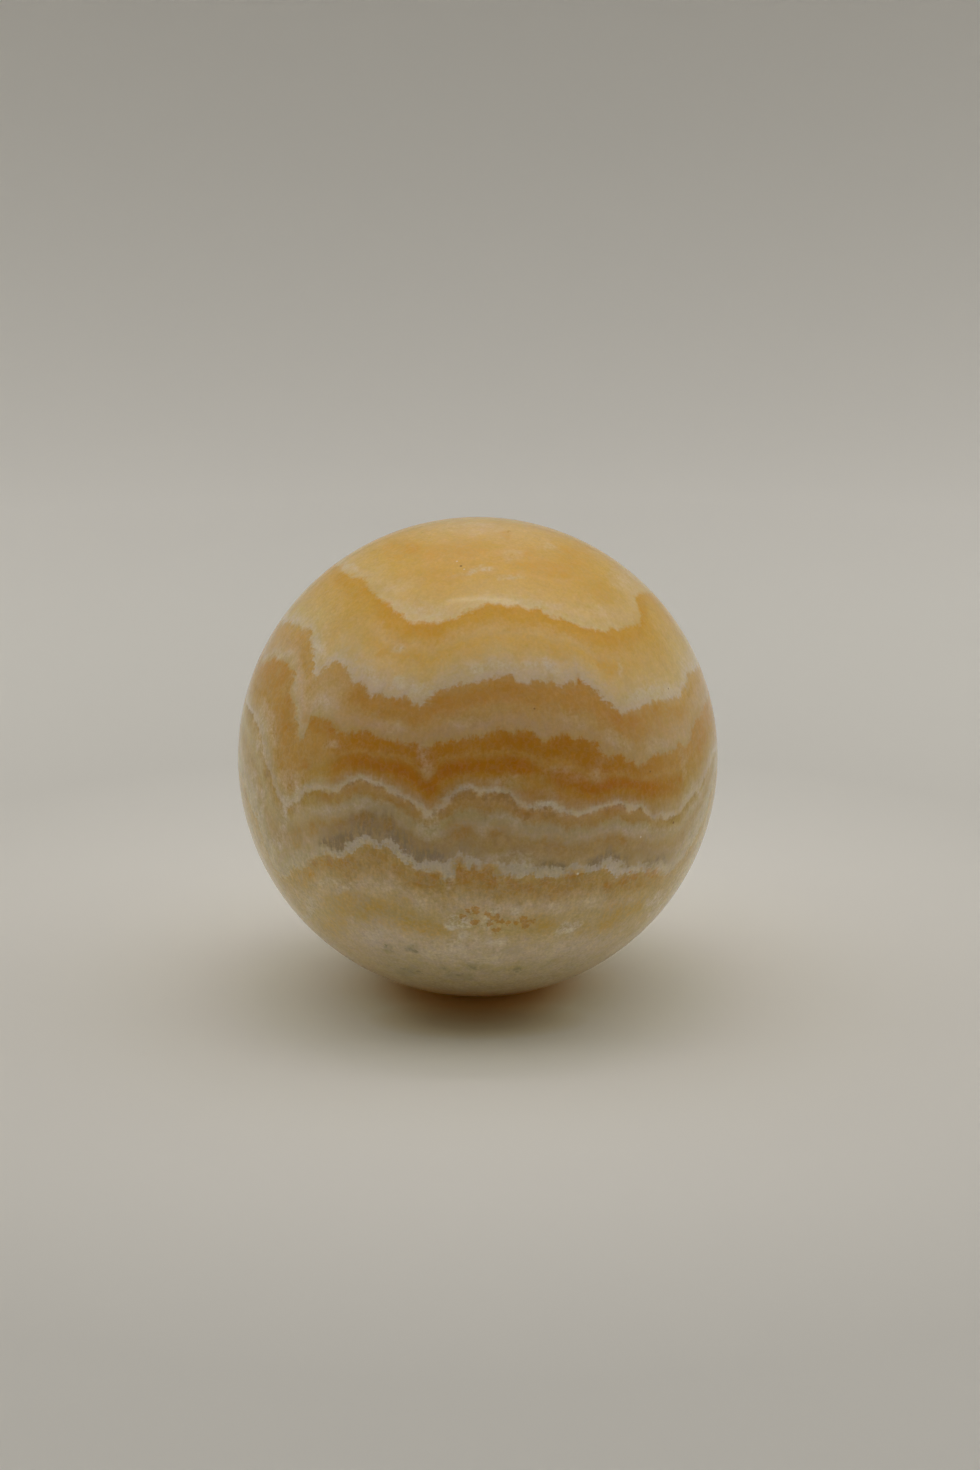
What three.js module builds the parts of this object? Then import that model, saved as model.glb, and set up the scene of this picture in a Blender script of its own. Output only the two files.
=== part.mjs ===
// A polished ball of banded orange calcite, ground from one piece of stone.
// It stands by itself on a small flat on its underside, too small to see from the side.
// Lengths are in millimetres, +Z is up, and the origin is the middle of the flat it stands on.
import * as THREE from "three";

// Driving dimensions
const BALL_DIAMETER = 60;
const FOOT_DIAMETER = 6;

// How finely the round surface is divided
const STEPS_ROUND = 72;
const STEPS_BELOW_MIDDLE = 17;
const STEPS_ABOVE_MIDDLE = 18;

// Finish of the stone
const STONE_COLOUR = 0xd9a65c;
const STONE_ROUGHNESS = 0.2;

const ballRadius = BALL_DIAMETER / 2;
const footRadius = FOOT_DIAMETER / 2;
// The flat is a chord of the ball, so the centre stands a little lower than one radius.
const centreHeight = Math.sqrt(ballRadius ** 2 - footRadius ** 2);

// Points on the ball's outline between two angles, which are measured up from straight down.
// The point at the first angle is included and the one at the last angle isn't.
function outlineArc(fromAngle, toAngle, steps) {
  const points = [];
  for (let step = 0; step < steps; step++) {
    const angle = THREE.MathUtils.lerp(fromAngle, toAngle, step / steps);
    const outward = ballRadius * Math.sin(angle);
    const up = centreHeight - ballRadius * Math.cos(angle);
    points.push(new THREE.Vector2(outward, up));
  }
  return points;
}

// Half of the ball's outline, from the middle of the flat, out to its rim and up the side to the top.
function ballOutline() {
  const rimAngle = Math.asin(footRadius / ballRadius);
  const points = [
    new THREE.Vector2(0, 0),
    ...outlineArc(rimAngle, Math.PI / 2, STEPS_BELOW_MIDDLE),
    ...outlineArc(Math.PI / 2, Math.PI, STEPS_ABOVE_MIDDLE),
    new THREE.Vector2(0, centreHeight + ballRadius),
  ];
  // The rim of the flat lies exactly on the surface that the ball stands on.
  points[1].y = 0;
  return points;
}

function makeBall() {
  const geometry = new THREE.LatheGeometry(ballOutline(), STEPS_ROUND);
  const stone = new THREE.MeshStandardMaterial({
    color: STONE_COLOUR,
    roughness: STONE_ROUGHNESS,
    metalness: 0,
  });
  const ball = new THREE.Mesh(geometry, stone);
  ball.name = "calcite_sphere";
  // A lathe turns about Y, and the ball stands along Z.
  ball.rotation.x = Math.PI / 2;
  return ball;
}

const part = new THREE.Group();
part.add(makeBall());

export default part;
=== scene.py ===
"""A polished ball of banded orange calcite on a pale surface, lit by soft studio light.

The scene is in metres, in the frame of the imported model. The stone's pattern is written in
millimetres, measured from the middle of the ball.
"""
import math

import bpy
import numpy as np
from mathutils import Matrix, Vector, noise


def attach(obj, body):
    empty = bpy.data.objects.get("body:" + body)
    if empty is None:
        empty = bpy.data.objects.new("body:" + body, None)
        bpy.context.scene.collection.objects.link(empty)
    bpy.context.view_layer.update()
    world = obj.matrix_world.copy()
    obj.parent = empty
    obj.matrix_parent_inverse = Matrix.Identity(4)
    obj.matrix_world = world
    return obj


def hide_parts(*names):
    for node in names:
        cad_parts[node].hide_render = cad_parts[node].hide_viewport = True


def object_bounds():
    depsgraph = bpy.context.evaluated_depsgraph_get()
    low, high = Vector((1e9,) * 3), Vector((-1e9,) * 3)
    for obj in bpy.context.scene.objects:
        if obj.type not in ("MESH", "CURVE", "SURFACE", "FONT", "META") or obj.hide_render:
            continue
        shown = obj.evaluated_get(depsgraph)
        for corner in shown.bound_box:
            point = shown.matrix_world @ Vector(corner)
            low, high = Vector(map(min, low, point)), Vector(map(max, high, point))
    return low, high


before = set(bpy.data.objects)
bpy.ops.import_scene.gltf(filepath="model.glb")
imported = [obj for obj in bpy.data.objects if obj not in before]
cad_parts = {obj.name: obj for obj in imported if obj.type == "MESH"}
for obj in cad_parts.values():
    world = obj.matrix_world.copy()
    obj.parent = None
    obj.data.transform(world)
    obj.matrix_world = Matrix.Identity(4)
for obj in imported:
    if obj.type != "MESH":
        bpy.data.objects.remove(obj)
cad_low, cad_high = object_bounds()

MM = 0.001

# The ball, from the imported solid
BALL_RADIUS = (cad_high.x - cad_low.x) / 2
CENTRE_HEIGHT = cad_high.z - BALL_RADIUS
FOOT_RADIUS = math.sqrt(BALL_RADIUS**2 - CENTRE_HEIGHT**2)
BALL_CENTRE = Vector((0, 0, CENTRE_HEIGHT))
RADIUS_MM = BALL_RADIUS / MM

# The photographed view
VIEW_ELEVATION = math.radians(16)
VIEW_DISTANCE = 13.65 * BALL_RADIUS
VIEW_DISTANCE_MM = VIEW_DISTANCE / MM
SEEN_RIGHT = np.array((1, 0, 0))
SEEN_UP = np.array((0, math.sin(VIEW_ELEVATION), math.cos(VIEW_ELEVATION)))
TO_CAMERA = np.array((0, -math.cos(VIEW_ELEVATION), math.sin(VIEW_ELEVATION)))
LENS_MM = 80
SENSOR_MM = 36
FRAME_WIDTH_PX = 980
FRAME_HEIGHT_PX = 1470
BALL_CENTRE_PX = (477.4, 756.6)

# How finely the ball's surface is divided
RINGS = 220
SEGMENTS = 440
FOOT_RINGS = 6

# The stone grew in layers, numbered 0 for the cap on top to 7 for the one at the bottom.
# Each list follows the upper edge of one layer across the photographed side, as (right, up) in
# millimetres from the middle of the ball as the camera sees it.
LAYER_EDGES = (
    # 1: golden, under the cap
    ((-17.7, 24.4), (-17.1, 23.9), (-16.6, 23), (-15.7, 22.5), (-14, 22.3), (-12.6, 19.9), (-10.7, 19),
     (-10.7, 18.3), (-9.3, 17.8), (-8.1, 16.6), (-7.1, 17), (-4.7, 16.6), (-3.8, 17.2), (-2.8, 17.4),
     (-1.2, 18.5), (-0.4, 18.5), (1.3, 19.3), (3.5, 18.8), (4.7, 18.9), (6.7, 18.3), (7.6, 18.5),
     (9.7, 17.4), (16.2, 15.5), (17, 16.2), (17.6, 15.7), (18.4, 16.4), (20.6, 16.6), (20.6, 17.5),
     (19.6, 20), (20.1, 20.5), (21.9, 20.9)),
    # 2: brown-orange under a white edge
    ((-24.6, 16.4), (-23.4, 17), (-22.1, 16.1), (-21.1, 16), (-21, 14.6), (-20.4, 12.6), (-20.6, 10.6),
     (-20.2, 9.9), (-19.9, 10.6), (-18.9, 11.6), (-17.9, 12), (-17.1, 11.9), (-16.1, 10.9), (-15.5, 9.1),
     (-14.8, 9.5), (-14.2, 9.2), (-13.5, 7.6), (-12.1, 8.1), (-11.6, 7.5), (-9.8, 7), (-9.3, 7.7),
     (-8.6, 7.3), (-8.1, 6.5), (-7.2, 6.3), (-5.1, 8.3), (-2.3, 9.1), (-1.3, 8.9), (0.6, 9.6),
     (2.8, 10.1), (4.1, 9.9), (6, 9), (7, 9.5), (9, 9.4), (9.2, 10.2), (9.5, 9.4), (10.4, 8.9),
     (12.4, 9.4), (12.7, 10), (18.1, 5.3), (18.9, 5.8), (21.9, 6.8), (25, 7.5), (25.6, 8), (26.3, 10.4),
     (27.8, 12.1)),
    # 3: deep orange
    ((-27, 11.2), (-26.4, 12), (-25.4, 12.5), (-24.4, 12.1), (-23.6, 11.4), (-23.2, 10.4), (-23.4, 7.8),
     (-22.7, 5.6), (-22.5, 2.9), (-22, 1.8), (-21.5, 3), (-21, 4.9), (-20.1, 5.4), (-19.4, 4.9),
     (-18.5, 4.2), (-17.7, 3.3), (-17, 2.8), (-15.7, 3.2), (-13.7, 3.1), (-12.8, 2.7), (-12.2, 2.1),
     (-11.3, 2.3), (-7.7, 1.5), (-7.2, 0.9), (-6.6, 0.6), (-6.1, 1), (-4.9, 1.7), (-2.1, 2.1),
     (-1.2, 2.5), (0.8, 2.5), (1.5, 3), (3.2, 3.3), (4.6, 2.7), (5.2, 3.2), (6, 3.3), (6.9, 2.9),
     (7.7, 2.2), (8.4, 1.9), (9.1, 2.4), (10.1, 2.5), (10.6, 2.8), (11.1, 2.8), (11.6, 2.1), (13.5, 2.2),
     (14.8, 1.3), (15.6, 0.4), (16.2, -0.4), (16.9, 0), (17.8, 0.2), (18.4, -0.4), (20.4, -1.2),
     (22, 0.1), (23.1, 0.5), (24.1, 0.3), (25.4, 1.5), (25.9, 1.1), (26.4, 1.8), (27.2, 4.3), (27.8, 4.8),
     (28.2, 6.1), (28.9, 7.3)),
    # 4: a second deep orange band
    ((-27.7, 8.6), (-26.6, 8.2), (-25.7, 6), (-25, 1.5), (-23.6, -3.9), (-22.2, -2.7), (-20.4, -1.7),
     (-18.5, -0.9), (-16.8, -0.2), (-16, 0.3), (-14, -0.1), (-12.5, -0.6), (-10, -0.7), (-8.7, -1.1),
     (-7.9, -1.8), (-7.2, -2.7), (-6.3, -3.2), (-5.2, -2.3), (-4.9, -1.2), (-4.1, -0.9), (-1.6, -0.6),
     (2.2, -0.2), (4.1, 0.1), (6, -0.4), (6.6, -1.1), (8.5, -1.9), (10.4, -1.7), (12.2, -1.9),
     (13.2, -2.9), (14.1, -3.6), (16, -3.1), (17.9, -2.7), (20.4, -3.2), (23.1, -2.7), (25.4, -2.2),
     (26.9, 0.3), (28, 2.6), (29.3, 5)),
    # 5: tan under a thin white line
    ((-28.8, 7.2), (-27.6, 5.4), (-26.9, 3.7), (-26.4, 1.2), (-25.9, -0.8), (-25.5, -2.6), (-25, -4),
     (-24.5, -4.9), (-23.9, -5.6), (-23.3, -5.2), (-22.7, -4.9), (-22.2, -4.6), (-21.8, -3.6),
     (-19.5, -3.4), (-17.5, -3.6), (-16.7, -2.8), (-16, -2.8), (-15.2, -2.3), (-13.5, -2.6),
     (-11.5, -3.3), (-7.4, -5.6), (-6.1, -6.7), (-5.2, -6.2), (-2.4, -3.6), (-0.9, -3.3), (0.5, -4.1),
     (2.3, -3.7), (4.1, -4.1), (5.2, -5.4), (6.8, -6.1), (7.6, -5.9), (8.5, -5.6), (9.5, -5.6),
     (10.3, -6.3), (11.4, -6.7), (13.5, -6.6), (17.8, -5.2), (18.1, -5.7), (19, -5.9), (20.3, -5.7),
     (20.9, -5.9), (22, -7.4), (22.9, -6.9), (23.9, -7.1), (24.9, -6.8), (25.6, -6.1), (26.7, -4.4),
     (27.3, -4.1), (29.3, 0.6), (29.9, 1.5)),
    # 6: a thin white layer
    ((-29.4, -0.7), (-28.9, -2.6), (-27.9, -4.8), (-27.4, -6.8), (-26.6, -8), (-26.4, -10.2),
     (-25.6, -11.4), (-24.9, -13.6), (-22.6, -11.8), (-21, -12.3), (-19.4, -10.9), (-18.5, -11.8),
     (-17.1, -12), (-15.7, -10.5), (-14.5, -9.9), (-13.8, -10), (-12.6, -10.9), (-10.7, -10.2),
     (-10, -11.4), (-8.7, -12.1), (-7.8, -13.3), (-7.2, -13.4), (-3.6, -13), (-2.9, -12.8), (-2.6, -12.2),
     (0.1, -13.1), (3.5, -13.6), (6.6, -13.5), (10.4, -14.1), (11.2, -14), (12.1, -13.4), (13.1, -13.7),
     (14.1, -13.8), (15.7, -13.3), (16.6, -12.9), (17.5, -13), (18.1, -13.6), (18.9, -14.1),
     (20.3, -13.3), (21.9, -13.7), (22.9, -13.2), (23.9, -13.7), (27.4, -7.9), (29.5, -1.9)),
    # 7: tan and cream, down to the bottom
    ((-29.2, -3.6), (-27.5, -8.2), (-26.2, -12.4), (-25.2, -14.4), (-24.4, -15.5), (-23.5, -14.2),
     (-22.6, -13.7), (-22.1, -14.2), (-20.5, -12.7), (-19.2, -12), (-17.2, -12.6), (-15.5, -11.7),
     (-14.3, -10.6), (-13.7, -10.5), (-12.5, -11.4), (-11.6, -10.9), (-11, -11.2), (-10.3, -12.2),
     (-7.9, -13.9), (-5.1, -14.4), (-4.6, -15.2), (-4.2, -15.7), (-3.8, -15.2), (-2.9, -15.1),
     (-2.6, -12.7), (-1.8, -13.9), (-1.2, -14.4), (-0.8, -14.1), (-0.4, -13.5), (0.1, -14.4),
     (1.2, -13.6), (1.9, -14.2), (2.4, -15.4), (2.8, -15.9), (3.3, -15), (3.8, -14.9), (5.1, -15.4),
     (5.8, -14.8), (6.6, -14.4), (7.3, -14.8), (7.9, -15.2), (8.6, -14.8), (9.4, -14.9), (10.1, -15.2),
     (11.1, -14.8), (11.9, -14.4), (12.9, -14.3), (13.9, -14.5), (15.6, -13.9), (16.7, -14),
     (17.1, -14.8), (17.5, -15.1), (17.9, -14.7), (18.8, -14.6), (19.6, -14.5), (21.4, -14), (22.4, -14),
     (22.9, -14.8), (23.6, -14.7), (24.6, -14.1), (27.5, -9.8), (28.4, -7.6), (29.3, -4)),
)
LAYER_COUNT = len(LAYER_EDGES) + 1
THINNEST_LAYER = 0.7
# Layer 5 has a thin white line along its upper edge, and layer 6 is white
LINE_LAYER = 5
WHITE_LAYER = 6

# Round the back the layers rise over domes that meet in valleys: azimuth in degrees, rise in mm
BACK_VALLEYS = ((62, -2), (119, 0.5), (141, -0.5), (168, 1), (193, -1), (217, 1.5), (240, -0.5), (306, -2))
DOME_BULGES = (9, 3.5, 6, 4, 6.5, 3.5, 9)
# Higher powers make the crest of a dome flatter and its sides less steep
DOME_CREST_POWER = 2.4
DOME_SIDE_POWER = 0.75
# Level of each edge on the back, and how much of the domes it follows
BACK_LEVELS = (20.6, 13.6, 8.0, 5.2, 1.6, -6.2, -7.6)
BACK_GAINS = (0.45, 0.55, 0.70, 0.78, 0.85, 1.0, 1.0)
# Lobes along each edge on the back: seed, widths in degrees, rises of their valleys and bulges in mm
LOBE_SEED = 40
LOBE_DEGREES = (2.5, 9)
LOBE_RISES = (-0.5, 0.5)
LOBE_BULGES = (0.1, 0.9)
# Over how many degrees the back joins the photographed side, and steps of each edge round the ball
JOIN_DEGREES = 30
LINE_STEPS = 1440
# An edge's slope is taken from its line evened out over this many degrees to either side
SLOPE_DEGREES = 4
# Limits that keep the values finite at the top and the bottom
SMALLEST_RIM = 0.5
LEAST_LAYERS_PER_MM = 0.02

# Colours down through each layer, as (depth from 0 at its upper edge to 1 at its lower edge, colour),
# first where the stone is richly coloured and then where it is pale.
LAYER_COLOURS = (
    # 0: the cap
    (((0, (0.77, 0.51, 0.21)), (0.28, (0.79, 0.48, 0.15)), (0.55, (0.8, 0.5, 0.15)),
      (0.8, (0.83, 0.56, 0.21)), (1, (0.84, 0.63, 0.33))),
     ((0, (0.77, 0.52, 0.21)), (0.3, (0.75, 0.46, 0.12)), (0.6, (0.76, 0.48, 0.13)),
      (1, (0.75, 0.54, 0.24)))),
    # 1: golden, fading to cream
    (((0, (0.78, 0.41, 0.07)), (0.15, (0.78, 0.44, 0.08)), (0.34, (0.81, 0.53, 0.2)),
      (0.45, (0.82, 0.51, 0.14)), (0.62, (0.8, 0.55, 0.22)), (0.85, (0.73, 0.55, 0.32)),
      (1, (0.69, 0.53, 0.37))),
     ((0, (0.73, 0.41, 0.07)), (0.25, (0.73, 0.45, 0.11)), (0.5, (0.74, 0.49, 0.17)),
      (0.75, (0.73, 0.53, 0.21)), (1, (0.73, 0.6, 0.41)))),
    # 2: brown-orange, fading to grey-beige
    (((0, (0.61, 0.35, 0.11)), (0.18, (0.61, 0.32, 0.07)), (0.38, (0.63, 0.34, 0.09)),
      (0.6, (0.62, 0.38, 0.13)), (0.8, (0.61, 0.39, 0.18)), (1, (0.59, 0.38, 0.14))),
     ((0, (0.66, 0.44, 0.17)), (0.2, (0.65, 0.4, 0.11)), (0.5, (0.67, 0.44, 0.19)),
      (1, (0.62, 0.46, 0.23)))),
    # 3: deep orange, with a lighter line near its lower edge
    (((0, (0.55, 0.25, 0.03)), (0.4, (0.54, 0.23, 0.01)), (0.6, (0.55, 0.25, 0.03)),
      (0.8, (0.59, 0.31, 0.06)), (1, (0.55, 0.26, 0.04))),
     ((0, (0.62, 0.35, 0.08)), (0.6, (0.61, 0.35, 0.08)), (1, (0.59, 0.36, 0.1)))),
    # 4: the second deep orange band
    (((0, (0.55, 0.21, 0)), (0.35, (0.55, 0.22, 0.01)), (0.58, (0.57, 0.28, 0.03)),
      (0.8, (0.57, 0.32, 0.1)), (1, (0.59, 0.38, 0.19))),
     ((0, (0.57, 0.32, 0.04)), (0.5, (0.6, 0.38, 0.1)), (1, (0.61, 0.47, 0.25)))),
    # 5: tan and cream bands under a white line
    (((0, (0.4, 0.23, 0.09)), (0.12, (0.6, 0.37, 0.15)), (0.26, (0.55, 0.33, 0.1)),
      (0.37, (0.54, 0.41, 0.21)), (0.5, (0.59, 0.44, 0.25)), (0.62, (0.53, 0.35, 0.13)),
      (0.8, (0.55, 0.37, 0.16)), (1, (0.6, 0.44, 0.24))),
     ((0, (0.44, 0.27, 0.06)), (0.18, (0.57, 0.38, 0.11)), (0.38, (0.63, 0.49, 0.25)),
      (0.62, (0.58, 0.41, 0.17)), (0.82, (0.62, 0.47, 0.25)), (1, (0.68, 0.54, 0.34)))),
    # 6: white
    (((0, (0.63, 0.53, 0.39)), (1, (0.67, 0.57, 0.41))),
     ((0, (0.63, 0.51, 0.29)), (1, (0.7, 0.58, 0.33)))),
    # 7: tan and cream, with an orange glow painted at the bottom for light that comes up through the foot
    (((0, (0.58, 0.39, 0.13)), (0.09, (0.57, 0.38, 0.13)), (0.18, (0.68, 0.52, 0.3)),
      (0.32, (0.64, 0.48, 0.21)), (0.48, (0.7, 0.57, 0.4)), (0.62, (0.55, 0.44, 0.25)),
      (0.8, (0.52, 0.4, 0.22)), (0.92, (0.66, 0.37, 0.13)), (1, (0.65, 0.26, 0.04))),
     ((0, (0.64, 0.45, 0.17)), (0.18, (0.69, 0.54, 0.27)), (0.32, (0.7, 0.54, 0.26)),
      (0.6, (0.66, 0.5, 0.26)), (0.8, (0.55, 0.39, 0.19)), (0.92, (0.66, 0.37, 0.13)),
      (1, (0.65, 0.26, 0.04)))),
)
# Where each layer starts, in mm of growth from the top, for the fine lines that follow the layers
GROWTH_MM = (0, 12, 20, 27, 30, 34, 42, 43.5, 60)
# The thin white line: its width in mm, how sharply it fades per mm, and its colour
LINE_WIDTH = 0.68
LINE_SHARPNESS = 2.4
LINE_COLOUR = (0.74, 0.62, 0.43)
# How far the teeth shift the upper edge of each layer, starting with the cap's colours, and how wide
# the soft border of each edge is, in mm
TEETH_REACH = (0.5, 1.0, 1.2, 1.3, 0.5, 0.6, 1.6, 1.5)
EDGE_BORDER = (0.60, 0.50, 0.55, 0.90, 0.45, 0.50, 0.50)
# Noise is given as (waves per mm, detail, roughness). The teeth come in two sizes, each with its
# strength, and are shifted so that they reach both ways.
TEETH_SIZES = (((0.7, 1.5, 0.6), 0.45), ((1.7, 1.5, 0.6), 0.32))
TEETH_MIDDLE = -0.22
FINE_TEETH = (2.6, 2, 0.65)
WOBBLE = (0.35, 2, 0.5)
FIBRES = (2.4, 3, 0.6)
CLOUDS = (0.6, 4, 0.65)
GRAIN = (3.0, 3, 0.65)
PATCHES = (0.16, 3, 0.55)
CRUMBS = (0.8, 3, 0.6)
GROWTH_LINES = (1.0, 3, 0.6)
TINT = (1.1, 3, 0.6)
FLECK_EDGE = (1.2, 2, 0.5)
SPOT_EDGE = (1.8, 2, 0.6)

# A mark is full within MARK_CORE of its half width and half height and gone at MARK_RIM of them
MARK_CORE = 0.65
MARK_RIM = 1.3
# How far towards the camera from the middle of the ball, in mm, the marks of the photographed side
# come in and those of the back fade out
SEEN_SIDE = (0, 2)
HIDDEN_SIDE = (-1, 5)
# Scattered marks of the back: azimuths in degrees, heights as shares of the radius, and tilts in
# degrees. None of them reaches more than FARTHEST_REACH up or down, in mm.
BACK_TURNS = (62, 298)
BACK_HEIGHTS = (-0.95, 0.95)
BACK_TILTS = (-20, 20)
FARTHEST_REACH = 15
# Noise that makes the outlines of the marks uneven, in two sizes as (waves per mm, reach in mm). It needs
# a seed, because without one it starts from the clock and differs in each run.
OUTLINE_SEED = 7
OUTLINE_NOISE = ((0.3, 0.7), (0.9, 0.4))

# Marks on the photographed side, as (right, up, half width, half height, strength) in millimetres as
# the camera sees them, and where a mark slopes, how many degrees it rises to the right.
# White and cream patches, streaks and seams. The thin streaks at (-0.2, 23) and (4.3, 22.1) on the cap are
# partly pale stone and partly a painted highlight.
WHITE_MARKS_AND_HIGHLIGHT = (
    (7.8, 19.4, 3.3, 0.6, 0.15, -14), (-6.6, 18.6, 3.5, 1, 0.15, -6), (4.1, 25.6, 1.6, 0.9, 0.15),
    (-0.2, 23, 2.8, 0.3, 0.3, 3), (4.3, 22.1, 1.8, 0.3, 0.25, -2), (-10.3, 21.6, 3, 1.1, 0.1),
    (-16.2, 23.6, 1.5, 0.6, 0.2, -20), (9.1, 26.5, 0.8, 0.4, 0.2), (14.1, 18.6, 3.3, 0.8, 0.1, -10),
    (18.1, 22.8, 1.8, 1.8, 0.12, -45), (-0.9, 28.7, 5, 0.8, 0.1), (-10.2, 13.4, 0.8, 0.5, 0.3, 20),
    (17.6, 11.2, 0.4, 1.4, 0.25, 12), (3.5, 11.4, 5.3, 0.8, 0.25, -2), (8.6, 11.2, 1.4, 0.8, 0.3, -10),
    (21.6, 8, 3.3, 0.8, 0.3, 8), (-7.2, 8.3, 1.8, 1, 0.3), (-13.2, 10.1, 1.3, 0.9, 0.3, -35),
    (0.3, 10.9, 1.1, 0.6, 0.3), (-10, 8.9, 1, 1, 0.3), (-19.7, 14, 0.8, 1.8, 0.2, 10),
    (-11, 3.6, 1.9, 0.8, 0.12, -5), (-0.9, 4.2, 2.8, 0.9, 0.1, 3), (12.2, 4.3, 2, 0.8, 0.1, -22),
    (17.2, 2, 2, 1, 0.2, -20), (22.4, 1.5, 1.9, 1, 0.12, 15), (-25.2, 12.9, 2.2, 0.5, 0.2, 10),
    (-18.3, 1.3, 1.2, 0.6, 0.3), (-6.4, -0.9, 0.9, 2, 0.14, -8), (-6.9, 0.6, 0.5, 1, 0.18),
    (15.4, -1.5, 1.1, 1.3, 0.07), (14.2, -2.3, 0.8, 0.8, 0.1), (2.8, -2.9, 2.8, 0.6, 0.15),
    (25.6, -1.4, 0.3, 2.5, 0.12), (8.7, -6.4, 1.9, 0.7, 0.42), (-6.2, -8.6, 1.7, 1.8, 0.28),
    (-22.7, -5.2, 0.8, 1.8, 0.3, 10), (-16, -6.2, 5.8, 0.5, 0.2, 3), (20.4, -9, 5.3, 0.6, 0.15, 4),
    (4.1, -7.9, 3.3, 0.6, 0.15, -8), (-24.1, -7.3, 0.4, 1.8, 0.3), (26.7, -5.4, 1, 2.8, 0.15, -20),
    (-4.2, -15.8, 0.4, 1.5, 0.35), (22.9, -14, 2, 0.6, 0.25, 10), (-2.6, -20.7, 1.7, 0.8, 0.95),
    (2.2, -19.4, 1, 0.5, 0.55), (4.8, -19.4, 0.8, 0.5, 0.5), (-1.3, -22.5, 0.9, 0.8, 0.45),
    (11.4, -21.4, 1.9, 0.6, 0.6, 28), (-16.5, -16.3, 1.4, 0.6, 0.32, 28), (-21, -19, 0.6, 1.3, 0.34, -20),
    (-7.2, -18.6, 0.8, 1, 0.28), (-11, -20.7, 0.6, 0.5, 0.2), (1.6, -23.1, 2.1, 0.6, 0.38, -8),
    (-5.9, -24.4, 1.6, 0.9, 0.22), (-2.7, -24.2, 1.5, 1.1, 0.3), (9.5, -19.1, 1.3, 1, 0.22),
    (22, -18.5, 1, 1.8, 0.38, -38), (0.6, -25.7, 2.1, 0.6, 0.22), (-12.8, -22.4, 2, 0.6, 0.22),
    (14.1, -18.4, 1.3, 0.5, 0.22), (-18.5, -15.5, 2, 0.5, 0.28, 10), (-27.4, 1.5, 0.4, 2.6, 0.22, 12),
    (-26.9, -6, 0.5, 2.5, 0.22, -14), (-27.8, -3.5, 0.5, 1.8, 0.22, -8),
    (-24.2, -6.3, 0.7, 2.2, 0.25, -5), (-24.6, -9.5, 0.5, 2.6, 0.22, -8),
    (-25.6, -11.5, 0.5, 2.4, 0.18, -15), (-22.6, 8.5, 1, 4.5, 0.08), (-22.3, 3.8, 0.9, 2, 0.1),
    (4, -12.9, 4, 0.8, 0.25), (-13.2, -16.4, 4.5, 1, 0.14, -4), (3.5, -18.6, 4, 0.6, 0.08),
    (-26.1, 4, 0.8, 3.4, 0.22, 15), (-23.6, -2.8, 1.5, 1.4, 0.2), (-20.2, 6.6, 2.2, 1.1, 0.13),
    (10.4, -2.2, 3, 0.9, 0.12), (0.8, -8.9, 0.9, 0.8, 0.2), (-3.9, -15.8, 0.5, 1.2, 0.3),
    (-19, 8.6, 3, 2.4, 0.1), (0.8, -20.6, 1, 0.6, 0.45), (8.6, -4.7, 1.4, 0.8, 0.12),
)
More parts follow.
